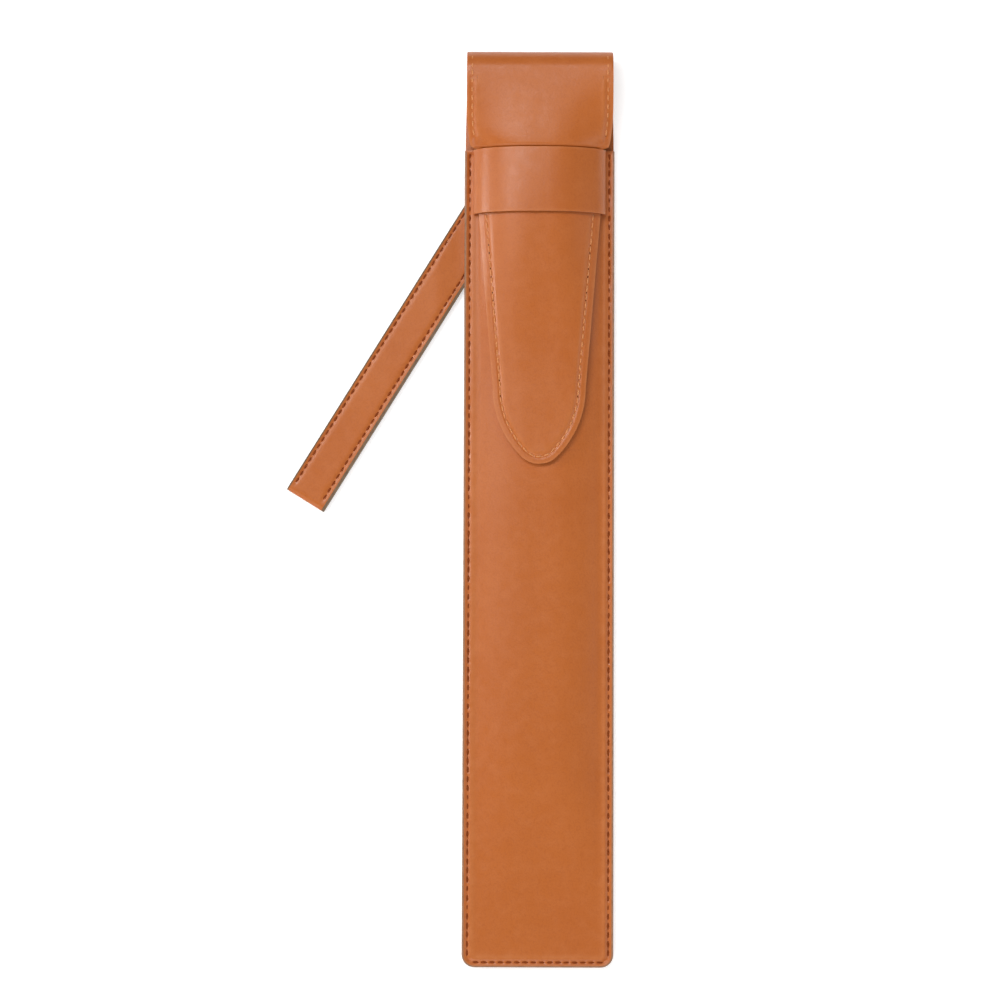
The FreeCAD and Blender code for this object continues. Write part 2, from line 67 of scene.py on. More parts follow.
# everything is drawn in millimetres and brought to metres as each piece is finished
millimetre, perMetre = 0.001, 1000
case = {
    "halfWidth": 16.5,
    "bottomY": -99.0,
    "mouthY": 81.5,
    "foldY": 99.0,
    "cornerRound": 2.6,
    "leather": 1.0,
    "lining": 0.3,
    "seamTop": 2.6,      # upper face of the flat sewn margin
    "rise": 4.4,         # how far the front stands over that margin
    "topHalf": 2.1,      # half of the flat top
    "sideRound": 17.05,
    "lowShare": 0.46,    # share of the rise that is left where the empty pocket lies low
    "closeFrom": -97.0,  # where the pocket is sewn flat
    "closeTo": -45.0,    # where it has its low height
    "openFrom": 28.0,
    "openTo": 72.0,      # where it has its full height
    "seamInset": 1.0,
    "furrow": 0.3,       # how deep the seam's thread pulls the leather in
    "furrowReach": 0.36,
    "lip": 0.08,         # how far the leather swells just inside the seam
    "lipInset": 1.85,
    "lipReach": 0.4,
    "crest": 2.1,        # where a highlight is painted along the ridge just inside the seam
    "crestSheen": 0.55,
    "wave": 0.12,        # how unevenly the leather lies
    "waveWide": 13.0,
    "waveLong": 19.0,
    "waveSeed": 2.7,
    "waveFrom": 2.0,     # how far in from the sewn edge the waves begin
    "waveTo": 6.0,
    "foldRound": 4.3,
}
stitch = {
    "length": 1.3,
    "thick": 0.19,
    "bow": 0.22,
    "hole": 0.24,
    "seamPitch": 2.0,
    "finePitch": 1.75,
    "gap": 0.3,          # reach of the pucker between two stitches
    "pucker": 0.6,       # share of the furrow that it fills
    "sides": 6,
    "steps": 5,
    "cornerGap": 1.0,    # room left where two rows meet
    "stand": 0.45,       # share of the bow that stands over the leather
    "holeBeyond": 0.04,  # how far past the thread's end the needle hole lies
    "holeLift": 0.02,
    "sway": 4,           # degrees
    "smallest": 0.94,
    "largest": 1.06,
    "probe": 0.3,        # how far to each side the leather's slope is felt
}


def smooth(low, high, value):
    share = min(max((value - low) / (high - low), 0.0), 1.0)
    return share * share * (3.0 - 2.0 * share)


def fading(low, high, value):
    return 1.0 - smooth(low, high, value)


def softFoot(height, ease=0.28):
    # runs out to nothing instead of ending in a crease
    if height > 8 * ease:  # well above the foot nothing changes
        return height
    return ease * math.log(1.0 + math.exp(height / ease))


def archRise(x, y):
    # flat top and round sides; the empty pocket stands open at its mouth and lies lower down the case
    past = min(max(abs(x) - case["topHalf"], 0.0), case["sideRound"] - 0.001)
    side = softFoot(case["rise"] - case["sideRound"] + math.sqrt(case["sideRound"] ** 2 - past ** 2))
    share = case["lowShare"] + (1.0 - case["lowShare"]) * smooth(case["openFrom"], case["openTo"], y)
    return side * share * smooth(case["closeFrom"], case["closeTo"], y)


def undulation(x, y, amount):
    return amount * noise.noise(Vector((x / case["waveWide"], y / case["waveLong"], case["waveSeed"])))


def edgeDistance(x, y):
    # in from the sewn edge: sides and round bottom corners
    past = abs(x) - (case["halfWidth"] - case["cornerRound"])
    below = (case["bottomY"] + case["cornerRound"]) - y
    if past > 0 and below > 0:
        return case["cornerRound"] - math.hypot(past, below)
    return case["cornerRound"] - max(past, below)


def hump(value, middle, reach):
    return math.exp(-((value - middle) / reach) ** 2)


def spread(low, high, step):
    count = max(int(round((high - low) / step)), 1)
    return [low + (high - low) * number / count for number in range(count + 1)]


def evenly(path, pitch, offset=0.5):
    # points and directions spread evenly along a path in the plan
    lengths = [math.dist(a, b) for a, b in zip(path, path[1:])]
    total = sum(lengths)
    count = max(int(total / pitch), 1)
    found = []
    for number in range(count):
        goal = total * (number + offset) / count
        for (a, b), length in zip(zip(path, path[1:]), lengths):
            if goal <= length:
                wayX, wayY = b[0] - a[0], b[1] - a[1]
                found.append((a[0] + wayX * goal / length, a[1] + wayY * goal / length, wayX, wayY))
                break
            goal -= length
    return found


def pullOf(rows):
    # how hard the thread pulls at a place: less at the gaps between stitches
    gaps = [point for path, pitch in rows for point in evenly(path, pitch, 0.0)]
    tree = kdtree.KDTree(len(gaps))
    for number, (x, y, wayX, wayY) in enumerate(gaps):
        tree.insert((x, y, 0.0), number)
    tree.balance()
    return lambda x, y: 1.0 - stitch["pucker"] * hump(tree.find((x, y, 0.0))[2], 0.0, stitch["gap"])


seamX, seamY = case["halfWidth"] - case["seamInset"], case["bottomY"] + case["seamInset"]
seamPaths = {
    "Left": [(-seamX, seamY + stitch["cornerGap"]), (-seamX, case["mouthY"])],
    "Right": [(seamX, seamY + stitch["cornerGap"]), (seamX, case["mouthY"])],
    "Bottom": [(-seamX + stitch["cornerGap"], seamY), (seamX - stitch["cornerGap"], seamY)],
}
seamPitches = {"Left": stitch["seamPitch"], "Right": stitch["seamPitch"], "Bottom": stitch["finePitch"]}
seamPull = pullOf([(seamPaths[side], seamPitches[side]) for side in seamPaths])


def frontHeight(x, y):
    inside = edgeDistance(x, y)
    seam = case["lip"] * hump(inside, case["lipInset"], case["lipReach"])
    seam -= case["furrow"] * hump(inside, case["seamInset"], case["furrowReach"])
    lively = undulation(x, y, case["wave"]) * smooth(case["waveFrom"], case["waveTo"], inside)
    return case["seamTop"] + archRise(x, y) + seam * seamPull(x, y) + lively


def srgb(red, green, blue):
    def straight(part):
        part /= 255.0
        return part / 12.92 if part <= 0.04045 else ((part + 0.055) / 1.055) ** 2.4
    return (straight(red), straight(green), straight(blue), 1.0)


# finishes
def startFinish(name):
    finish = bpy.data.materials.new(name)
    finish.use_nodes = True
    nodes = finish.node_tree.nodes
    links = finish.node_tree.links
    shader = nodes["Principled BSDF"]
    place = nodes.new("ShaderNodeTexCoord").outputs["Object"]
    return finish, nodes, links, shader, place


def noiseNode(nodes, links, place, scale, detail, roughness=0.5):
    grain = nodes.new("ShaderNodeTexNoise")
    grain.inputs["Scale"].default_value = scale
    grain.inputs["Detail"].default_value = detail
    grain.inputs["Roughness"].default_value = roughness
    links.new(place, grain.inputs["Vector"])
    return grain.outputs["Fac"]


def rangeNode(nodes, links, value, fromLow, fromHigh, toLow, toHigh):
    fit = nodes.new("ShaderNodeMapRange")
    sockets = ("From Min", "From Max", "To Min", "To Max")
    for socket, number in zip(sockets, (fromLow, fromHigh, toLow, toHigh)):
        fit.inputs[socket].default_value = number
    links.new(value, fit.inputs["Value"])
    return fit.outputs["Result"]


def mixNode(nodes, links, share, first, second):
    mix = nodes.new("ShaderNodeMix")
    mix.data_type = "RGBA"
    links.new(share, mix.inputs[0])
    for socket, colour in ((mix.inputs[6], first), (mix.inputs[7], second)):
        if isinstance(colour, tuple):
            socket.default_value = colour
        else:
            links.new(colour, socket)
    return mix.outputs[2]


def sumNode(nodes, links, first, second, operation="ADD"):
    total = nodes.new("ShaderNodeMath")
    total.operation = operation
    for socket, value in zip(total.inputs, (first, second)):
        if isinstance(value, float):
            socket.default_value = value
        else:
            links.new(value, socket)
    return total.outputs[0]


def bumpNode(nodes, links, height, strength, distance, below=None):
    bump = nodes.new("ShaderNodeBump")
    bump.inputs["Strength"].default_value = strength
    bump.inputs["Distance"].default_value = distance
    links.new(height, bump.inputs["Height"])
    if below is not None:
        links.new(below, bump.inputs["Normal"])
    return bump.outputs["Normal"]


tan = {
    "tone": srgb(191, 104, 42),
    "deep": srgb(186, 99, 38),
    "pale": srgb(196, 110, 48),
    "pore": srgb(170, 86, 32),
    # lighter tone for worn edges, and for the painted highlight on the arrises and on the ridge inside the
    # seam
    "rubbedAndSheen": srgb(206, 128, 74),
    "roughness": (0.28, 0.44),  # where it is smoothest and roughest
    "gloss": 0.45,
    "cloud": 55.0,              # how fine each pattern is, per metre
    "mottle": 420.0,
    "wrinkle": 260.0,
    "grain": 2600.0,
    "warp": 900.0,
    "warpReach": 0.0007,
}


def tanLeather(name, colours):
    finish, nodes, links, shader, place = startFinish(name)
    cloud = noiseNode(nodes, links, place, colours["cloud"], 3.0)
    mottle = noiseNode(nodes, links, place, colours["mottle"], 4.0, 0.6)
    clouded = rangeNode(nodes, links, cloud, 0.3, 0.7, 0.0, 1.0)
    colour = mixNode(nodes, links, clouded, colours["deep"], colours["tone"])
    mottled = rangeNode(nodes, links, mottle, 0.5, 0.8, 0.0, 0.4)
    colour = mixNode(nodes, links, mottled, colour, colours["pale"])
    cells = nodes.new("ShaderNodeTexVoronoi")  # fine pebbled grain
    cells.inputs["Scale"].default_value = colours["grain"]
    cells.inputs["Randomness"].default_value = 0.9
    warp = nodes.new("ShaderNodeVectorMath")
    warp.operation = "MULTIPLY_ADD"
    warpNoise = nodes.new("ShaderNodeTexNoise")
    warpNoise.inputs["Scale"].default_value = colours["warp"]
    links.new(place, warpNoise.inputs["Vector"])
    links.new(warpNoise.outputs["Color"], warp.inputs[0])
    warp.inputs[1].default_value = (colours["warpReach"],) * 3
    links.new(place, warp.inputs[2])
    links.new(warp.outputs["Vector"], cells.inputs["Vector"])
    valley = rangeNode(nodes, links, cells.outputs["Distance"], 0.45, 0.85, 0.0, 0.3)
    colour = mixNode(nodes, links, valley, colour, colours["pore"])
    # lighter where a point carries wear and painted highlight: at the cut edges and along the ridge inside
    # the seam
    rubAndSheen = nodes.new("ShaderNodeAttribute")
    rubAndSheen.attribute_name = "edgeRubAndSheen"
    rubbedAndSheen = sumNode(nodes, links, rubAndSheen.outputs["Fac"], mottle, "MULTIPLY")
    colour = mixNode(nodes, links, rubbedAndSheen, colour, colours["rubbedAndSheen"])
    links.new(colour, shader.inputs["Base Color"])
    satin = rangeNode(nodes, links, mottle, 0.3, 0.75, *colours["roughness"])
    links.new(satin, shader.inputs["Roughness"])
    wrinkle = noiseNode(nodes, links, place, colours["wrinkle"], 5.0, 0.62)
    ground = bumpNode(nodes, links, wrinkle, 0.05, 0.0006)
    pebbles = sumNode(nodes, links, cells.outputs["Distance"], -1.0, "MULTIPLY")
    links.new(bumpNode(nodes, links, pebbles, 0.12, 0.0001, ground), shader.inputs["Normal"])
    shader.inputs["Specular IOR Level"].default_value = colours["gloss"]
    return finish


suede = {
    "tone": srgb(172, 124, 84),
    "deep": srgb(146, 100, 64),
    "roughness": 0.9,
    "sheen": 0.25,
    "sheenRoughness": 0.4,
    "nap": 1500.0,       # how fine each pattern is, per metre
    "brushed": 90.0,
}


def suedeLining(name, colours):
    finish, nodes, links, shader, place = startFinish(name)
    nap = noiseNode(nodes, links, place, colours["nap"], 4.0, 0.7)
    brushed = noiseNode(nodes, links, place, colours["brushed"], 3.0)
    both = sumNode(nodes, links, nap, brushed, "MULTIPLY")
    share = rangeNode(nodes, links, both, 0.15, 0.36, 0.0, 1.0)
    colour = mixNode(nodes, links, share, colours["deep"], colours["tone"])
    links.new(colour, shader.inputs["Base Color"])
    links.new(bumpNode(nodes, links, nap, 0.4, 0.0002), shader.inputs["Normal"])
    shader.inputs["Roughness"].default_value = colours["roughness"]
    shader.inputs["Sheen Weight"].default_value = colours["sheen"]
    shader.inputs["Sheen Roughness"].default_value = colours["sheenRoughness"]
    return finish


def plainFinish(name, tone, deep, scale, roughness, bump, gloss=0.5):
    finish, nodes, links, shader, place = startFinish(name)
    streak = noiseNode(nodes, links, place, scale, 4.0, 0.6)
    colour = mixNode(nodes, links, rangeNode(nodes, links, streak, 0.32, 0.68, 0.0, 1.0), deep, tone)
    links.new(colour, shader.inputs["Base Color"])
    links.new(bumpNode(nodes, links, streak, bump, 0.0001), shader.inputs["Normal"])
    shader.inputs["Roughness"].default_value = roughness
    shader.inputs["Specular IOR Level"].default_value = gloss
    return finish


leather = tanLeather("tanLeather", tan)
lining = suedeLining("suedeLining", suede)
cutEdge = plainFinish("cutEdge", srgb(182, 104, 54), srgb(156, 84, 42),
                      scale=1400.0, roughness=0.5, bump=0.3)
edgePaint = plainFinish("edgePaint", srgb(168, 122, 90), srgb(142, 100, 70),
                        scale=900.0, roughness=0.42, bump=0.3)
# edge paint on the strap, darkened as painted shade along its sides
strapEdgeShaded = plainFinish("strapEdgeShaded", srgb(124, 96, 66), srgb(98, 72, 46),
                        scale=900.0, roughness=0.42, bump=0.3)
# one thread throughout: painted darker on the seams and the strap, as painted shade in the grooves it lies in
thread = plainFinish("thread", srgb(152, 72, 24), srgb(114, 48, 12),
                     scale=5200.0, roughness=0.6, bump=0.8, gloss=0.15)
# the same thread painted lighter on the flap and the fold, as painted highlight for the glints it catches
litFlapThread = plainFinish("litFlapThread", srgb(240, 170, 114), srgb(186, 106, 52),
                         scale=5200.0, roughness=0.55, bump=0.8, gloss=0.2)
# painted shade for the needle holes at each stitch's ends
needleHoleShade = plainFinish("needleHoleShade", srgb(96, 40, 12), srgb(74, 28, 8),
                         scale=3000.0, roughness=0.8, bump=0.2, gloss=0.1)
print("finishes mixed")


def makePiece(bm, name, finishes):
    bmesh.ops.scale(bm, vec=(millimetre,) * 3, verts=bm.verts)
    for face in bm.faces:
        face.smooth = True
    mesh = bpy.data.meshes.new(name)
    bm.to_mesh(mesh)
    bm.free()
    for finish in finishes:
        mesh.materials.append(finish)
    piece = bpy.data.objects.new(name, mesh)
    scene.collection.objects.link(piece)
    return piece


def thicken(piece, thickness, arris):
    # gives a cut sheet its thickness below, a rim and a worn arris
    wall = piece.modifiers.new("thickness", "SOLIDIFY")
    wall.thickness = thickness * millimetre
    wall.offset = -1.0
    wall.material_offset_rim = 1
    worn = piece.modifiers.new("arris", "BEVEL")
    worn.width = arris * millimetre
    worn.segments = 3
    worn.limit_method = "ANGLE"
    worn.angle_limit = math.radians(55)
    worn.use_clamp_overlap = True


def settle(piece):
    # makes the modifiers part of the mesh
    shaped = piece.evaluated_get(bpy.context.evaluated_depsgraph_get())
    mesh = bpy.data.meshes.new_from_object(shaped)
    piece.modifiers.clear()
    piece.data = mesh


net = {"snap": 0.0005, "merge": 0.03}


def cutSheet(outline, rings, acrossCuts, alongCuts):
    # a flat cut-out, with rings along its edge and a net of cuts so that it can be shaped
    bm = bmesh.new()
    middle = bm.faces.new([bm.verts.new((x, y, 0.0)) for x, y in outline])
    middle.normal_update()
    if middle.normal.z < 0:
        middle.normal_flip()
    for step in rings:
        bmesh.ops.inset_region(bm, faces=[middle], thickness=step, use_boundary=True, use_even_offset=True)
    cuts = [(Vector((x, 0, 0)), Vector((1, 0, 0))) for x in acrossCuts]
    cuts += [(Vector((0, y, 0)), Vector((0, 1, 0))) for y in alongCuts]
    for place, way in cuts:
        everything = bm.verts[:] + bm.edges[:] + bm.faces[:]
        bmesh.ops.bisect_plane(bm, geom=everything, dist=net["snap"], plane_co=place, plane_no=way)
    bmesh.ops.remove_doubles(bm, verts=bm.verts, dist=net["merge"])
    return bm


finer = {
    "cuts": ((0.6, 1.2, 3), (1.2, 9.0, 7)),  # shortest and longest edge, and how often it is cut
    "level": 0.03,       # how far an edge may slant and still run along the seam
    "away": 9.0,         # stands for a point that is too far in
}


def finerAlong(bm, distance, zone):
    # more rows along a sewn edge, so that the puckers between its stitches have a shape
    inside = {vert: distance(vert.co.x, vert.co.y) for vert in bm.verts}
    for shortest, longest, cuts in finer["cuts"]:
        edges = [edge for edge in bm.edges if shortest <= edge.calc_length() < longest
                 and max(inside.get(vert, finer["away"]) for vert in edge.verts) < zone
                 and abs(inside[edge.verts[0]] - inside[edge.verts[1]]) < finer["level"]]
        made = bmesh.ops.subdivide_edges(bm, edges=edges, cuts=cuts, use_grid_fill=True)
        for part in made["geom_inner"]:
            if isinstance(part, bmesh.types.BMVert):
                inside[part] = finer["away"]


def faceTowards(bm, way):
    # turns an open sheet so that its furthest face that way looks that way
    bmesh.ops.recalc_face_normals(bm, faces=bm.faces)
    furthest = max(bm.faces, key=lambda face: face.calc_center_median().dot(way))
    if furthest.normal.dot(way) < 0:
        bmesh.ops.reverse_faces(bm, faces=bm.faces)


def paintRubAndSheen(piece, amount):
    # how worn each point is and how much painted highlight it carries, for the finish to read
    worn = piece.data.attributes.new("edgeRubAndSheen", "FLOAT", "POINT")
    for vert, rubAndSheen in zip(piece.data.vertices, worn.data):
        rubAndSheen.value = amount(vert.co.x * perMetre, vert.co.y * perMetre)


# reach of the lighter edges, and of the painted highlight along the seam's ridge
rubAndSheenReach = {"edge": 0.9, "edgeReach": 0.5, "crestReach": 0.5}


def rubAndSheenAt(inside, crest, share):
    # lighter at the cut edge, for wear and a painted highlight on the arris, and a painted highlight along
    # the crest just inside the seam
    edge = max(0.0, 1.0 - inside / rubAndSheenReach["edgeReach"]) * rubAndSheenReach["edge"]
    return edge + hump(inside, crest, rubAndSheenReach["crestReach"]) * share


# pouch: back and front, each leather with a lining
seamRings = [0.1, 0.16, 0.2, 0.2, 0.17, 0.17, 0.17, 0.17, 0.2, 0.26, 0.3]


def caseOutline(top, topHalf):
    # from the top right corner down, round the bottom and up again
    half, foot, bend = case["halfWidth"], case["bottomY"], case["cornerRound"]
    sideStep, cornerSteps = 3.0, 8
    right = [(topHalf, top)]
    for y in spread(foot + bend, top, sideStep)[-2:0:-1]:
        ease = smooth(case["mouthY"], case["foldY"], y) if topHalf < half else 0.0
        right.append((half + (topHalf - half) * ease, y))
    for number in range(cornerSteps + 1):
        angle = math.radians(number * 90 / cornerSteps)
        right.append((half - bend + bend * math.cos(angle), foot + bend - bend * math.sin(angle)))
    left = [(-x, y) for x, y in reversed(right)]
    return right + left


def seamRubAndSheen(x, y):
    return rubAndSheenAt(edgeDistance(x, y), case["crest"], case["crestSheen"])


frontPanel = {
    "across": spread(-13.8, 13.8, 0.85),
    "along": spread(-96.0, 80.5, 2.2),
    "arris": 0.2,
    "sewnZone": 2.4,     # how far in the finer rows reach
    "paintLap": 0.2,     # how far the edge paint laps over the arris
}
sheet = cutSheet(caseOutline(case["mouthY"], case["halfWidth"]), seamRings,
                 frontPanel["across"], frontPanel["along"])
finerAlong(sheet, edgeDistance, frontPanel["sewnZone"])
for vert in sheet.verts:
    vert.co.z = frontHeight(vert.co.x, vert.co.y)
for face in sheet.faces:
    middle = face.calc_center_median()
    if edgeDistance(middle.x, middle.y) < frontPanel["paintLap"]:
        face.material_index = 1
front = makePiece(sheet, "frontLeather", [leather, edgePaint, edgePaint])
paintRubAndSheen(front, seamRubAndSheen)
thicken(front, case["leather"], frontPanel["arris"])
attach(front, "pouch")
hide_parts("front_panel")

inner = {"short": 0.3, "narrow": 0.05, "ring": 0.6, "glue": 0.01, "slack": 0.02, "arris": 0.05}


def layUnder(sheet, height):
    # brings a lining to the lower face of the leather that it is glued to
    for vert in sheet.verts:
        vert.co.z = height(vert.co.x, vert.co.y)
    sheet.normal_update()
    for vert in sheet.verts:
        vert.co -= vert.normal * (case["leather"] + inner["glue"])


innerEdge = caseOutline(case["mouthY"] - inner["short"], case["halfWidth"] - inner["narrow"])
sheet = cutSheet(innerEdge, [inner["ring"]], frontPanel["across"][::2], frontPanel["along"][::2])
layUnder(sheet, frontHeight)
frontInside = makePiece(sheet, "frontLining", [lining, lining])
thicken(frontInside, case["lining"] - inner["slack"], inner["arris"])
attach(frontInside, "pouch")
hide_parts("front_lining")

backPanel = {
    "across": spread(-13.6, 13.6, 2.7),
    "along": spread(-96.0, 98.0, 4.5),
    "topHalf": 16.2,
    "liningHalf": 16.15,
    "arris": 0.2,
    "furrow": 0.42,
    "furrowReach": 0.34,
    "furrowEnd": (case["mouthY"] - 0.5, case["mouthY"] + 1.0),  # the seam runs out at the mouth
    "base": 0.04,        # how far the back stands off the table
    "wave": 0.04,
    "slack": 0.05,
    "turnedIn": 2.0,     # width of the leather turned in along the sides
}
sheet = cutSheet(caseOutline(case["foldY"], backPanel["topHalf"]), seamRings,
                 backPanel["across"], backPanel["along"])
for vert in sheet.verts:
    x, y = vert.co.x, vert.co.y
    furrow = hump(edgeDistance(x, y), case["seamInset"], backPanel["furrowReach"]) * backPanel["furrow"]
    furrow *= fading(*backPanel["furrowEnd"], y)
    vert.co.z = furrow + backPanel["base"] + undulation(x, y, backPanel["wave"])
bmesh.ops.reverse_faces(sheet, faces=sheet.faces)
back = makePiece(sheet, "backLeather", [leather, cutEdge])
paintRubAndSheen(back, seamRubAndSheen)
thicken(back, case["leather"] - backPanel["slack"], backPanel["arris"])
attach(back, "pouch")
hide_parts("back_panel")

sheet = cutSheet(caseOutline(case["foldY"], backPanel["liningHalf"]), [backPanel["turnedIn"]],
                 backPanel["across"], backPanel["along"])
for vert in sheet.verts:
    vert.co.z = case["leather"] + case["lining"]
for face in sheet.faces:
    middle = face.calc_center_median()
    if abs(middle.x) > case["halfWidth"] - backPanel["turnedIn"]:
        face.material_index = 2
backInside = makePiece(sheet, "backLining", [lining, lining, leather, leather])
thicken(backInside, case["lining"] - inner["slack"], inner["arris"])
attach(backInside, "pouch")
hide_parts("back_lining")
print("pouch cut and shaped")

# painted edge round the sides and the bottom
paintStrip = {
    "bulge": 0.2,
    "flatter": 0.75,     # share of the bulge that is lost towards both arrises
    "low": 0.12,
    "high": 2.5,
    "depth": 0.35,
    "arris": 0.06,
    "rows": 6,
}
edgePath = caseOutline(case["mouthY"], case["halfWidth"])
bm = bmesh.new()
bmesh.ops.create_grid(bm, x_segments=len(edgePath) - 1, y_segments=paintStrip["rows"], size=1.0)
for vert in bm.verts:
    number = int(round((vert.co.x + 1.0) / 2.0 * (len(edgePath) - 1)))
    x, y = edgePath[number]
    share = vert.co.y  # from -1 below to 1 above
    before, after = edgePath[max(number - 1, 0)], edgePath[min(number + 1, len(edgePath) - 1)]
    way = Vector((after[0] - before[0], after[1] - before[1], 0)).normalized()
    out = Vector((-way.y, way.x, 0))
    bulge = paintStrip["bulge"] * (1.0 - paintStrip["flatter"] * share * share)
    middle = (paintStrip["low"] + paintStrip["high"]) / 2
    vert.co = Vector((x, y, middle + share * (paintStrip["high"] - middle))) + out * bulge
faceTowards(bm, Vector((1, 0, 0)))
paint = makePiece(bm, "edgePaint", [edgePaint, edgePaint])
thicken(paint, paintStrip["depth"], paintStrip["arris"])
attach(paint, "pouch")
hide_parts("edge_coat")

# flap: wide cover and long tongue, cut in one
flap = {
    "half": 16.2,
    "shoulderHalf": 15.3,
    "shoulderFrom": 90.5,
    "shoulderY": 82.0,
    "tongueHalf": 13.5,
    "bandLow": 67.1,     # the tongue's sides run straight under the band and taper below it
    "endHalf": 10.3,
    "endY": 28.5,
    "tipY": 11.5,
    "tipRound": 5.6,
    "top": 8.6,
    "droopRound": 25.8,
    "droopEase": 1.8,    # how soon the cover's round sides level out towards the fold
    "swell": 0.85,       # how far the cover stands up where it meets the band
    "dip": 0.2,          # how far the tongue is pressed down under the band
    "dipReach": 6.0,
    "sink": 0.14,        # how much closer to the front it lies towards its tip
    "lift": 0.4,         # how far its right edge stands up off the front
    "liftFrom": 2.0,
    "stitchInset": 1.2,
    "tongueInset": 1.65,  # the row lies further in along the tongue
    "coverRow": 1.4,     # where the rows stop, above and below the mouth
    "tongueRow": 1.2,
    "furrow": 0.24,
    "lip": 0.06,
    "lipStep": 1.0,      # from the row in to the lip
    # a highlight is painted along the ridge just inside the flap's row
    "crest": 2.3,
    "crestSheen": 0.4,
    "topSeat": 0.1,      # how much deeper the thread lies near the fold
    "arris": 0.26,
    "sewnZone": 2.5,
    "edgeKept": 3.0,     # width of the edge that keeps its rings when the plan is widened
    "liningInset": 0.12,
    "liningRing": 0.5,
}
flapZones = {            # where along the flap each change begins and ends
    "widens": (case["mouthY"] - 0.3, case["mouthY"] + 0.5),
    "covers": (case["mouthY"] - 2.0, case["mouthY"] + 2.5),
    "swells": (case["mouthY"] - 0.1, case["mouthY"] + 0.5),
    "sinks": (14.0, 60.0),
    "lifts": (40.0, 64.0),
    "waves": (60.0, 66.0),
    "inset": (70.0, 78.0),
    "seats": (case["foldY"] - 5.0, case["foldY"] - 3.6),
    "levels": (case["foldY"] - 3.8, case["foldY"] - 1.8),
}


def flapHalf(y):
    # half width along the flap, above its tip
    if y < case["mouthY"] + 0.9:  # the tongue, and its step out to the cover
        share = min((y - flap["endY"]) / (flap["bandLow"] - flap["endY"]), 1.0)
        narrow = flap["endHalf"] + (flap["tongueHalf"] - flap["endHalf"]) * share
        return narrow + (flap["shoulderHalf"] - narrow) * smooth(*flapZones["widens"], y)
    comeIn = max((flap["shoulderFrom"] - y) / (flap["shoulderFrom"] - case["mouthY"]), 0.0) ** 2
    return flap["half"] - (flap["half"] - flap["shoulderHalf"]) * comeIn


def flapOutline(inset, tapered=True):
    # the flap's plan; without the taper its sides run straight up from the tip
    end, tip = flap["endHalf"] - inset, flap["tipRound"] - inset
    flankSteps, tipSteps = 12, 8
    levels = spread(flap["endY"], case["mouthY"] - 2.0, 2.6)  # closest at the step out to the cover
    levels += [case["mouthY"] + step for step in (-0.5, -0.2, 0.0, 0.2, 0.5, 1.0)]
    levels += spread(case["mouthY"] + 2.5, case["foldY"], 2.0)
    right = [(flapHalf(y) - inset if tapered else end, y) for y in reversed(levels)]
    tipRise = flap["endY"] - flap["tipY"] - flap["tipRound"]
    flank = (end ** 2 + tipRise ** 2 - tip ** 2) / (2 * (end - tip))
    last = math.atan2(tipRise, flank - end)
    for number in range(1, flankSteps + 1):
        angle = last * number / flankSteps
        right.append((end - flank + flank * math.cos(angle), flap["endY"] - flank * math.sin(angle)))
    for number in range(1, tipSteps + 1):
        angle = last + (math.pi / 2 - last) * number / tipSteps
        right.append((tip * math.cos(angle), flap["tipY"] + flap["tipRound"] - tip * math.sin(angle)))
    left = [(-x, y) for x, y in reversed(right[:-1])]
    return right + left


def widen(sheet, inset):
    # brings a straight-sided cut-out to the flap's own width, with its edge rings kept
    straight, edge = flap["endHalf"] - inset, flap["edgeKept"]
    for vert in sheet.verts:
        if vert.co.y > flap["endY"]:
            goal, inside = flapHalf(vert.co.y) - inset, straight - abs(vert.co.x)
            if inside < edge:
                wide = goal - inside
            else:
                wide = abs(vert.co.x) * (goal - edge) / (straight - edge)
            vert.co.x = math.copysign(wide, vert.co.x)


def distanceTo(path, x, y):
    best = math.inf
    for (ax, ay), (bx, by) in zip(path, path[1:]):
        dx, dy = bx - ax, by - ay
        share = min(max(((x - ax) * dx + (y - ay) * dy) / (dx * dx + dy * dy + 1e-12), 0.0), 1.0)
        best = min(best, (x - ax - share * dx) ** 2 + (y - ay - share * dy) ** 2)
    return math.sqrt(best)


flapEdge = flapOutline(0.0)


def flapPlain(x, y):
    # the flap's outer face without its stitching furrow
    past = max(abs(x) - case["topHalf"], 0.0)
    shoulder = flap["droopRound"] - math.sqrt(flap["droopRound"] ** 2 - past ** 2)
    reach = min(max((y - flap["shoulderY"]) / (case["foldY"] - flap["shoulderY"]), 0.0), 1.0)
    coverDrop = shoulder * (1.0 - reach) ** flap["droopEase"]
    tongueDrop = case["rise"] - archRise(x, y) + flap["sink"] * fading(*flapZones["sinks"], y)
    tongueDrop += flap["dip"] * hump(y, case["mouthY"], flap["dipReach"])
    tongueDrop -= flap["lift"] * smooth(flap["liftFrom"], flap["endHalf"], x) * fading(*flapZones["lifts"], y)
    wide = smooth(*flapZones["covers"], y)
    lively = undulation(x, y, case["wave"]) * fading(*flapZones["waves"], y)
    ramp = min((case["foldY"] - y) / (case["foldY"] - case["mouthY"]), 1.0)
    swell = flap["swell"] * ramp * smooth(*flapZones["swells"], y)
    return flap["top"] - tongueDrop * (1.0 - wide) - coverDrop * wide + lively + swell


coverLine = [(x, y) for x, y in flapOutline(flap["stitchInset"]) if y > case["mouthY"] + flap["coverRow"]]
flapPaths = {
    "Left": [(x, y) for x, y in coverLine if x < 0],
    "Right": [(x, y) for x, y in coverLine if x > 0],
}
tonguePath = [(x, y) for x, y in flapOutline(flap["tongueInset"]) if y < case["mouthY"] - flap["tongueRow"]]
flapPull = pullOf([(path, stitch["finePitch"]) for path in [*flapPaths.values(), tonguePath]])


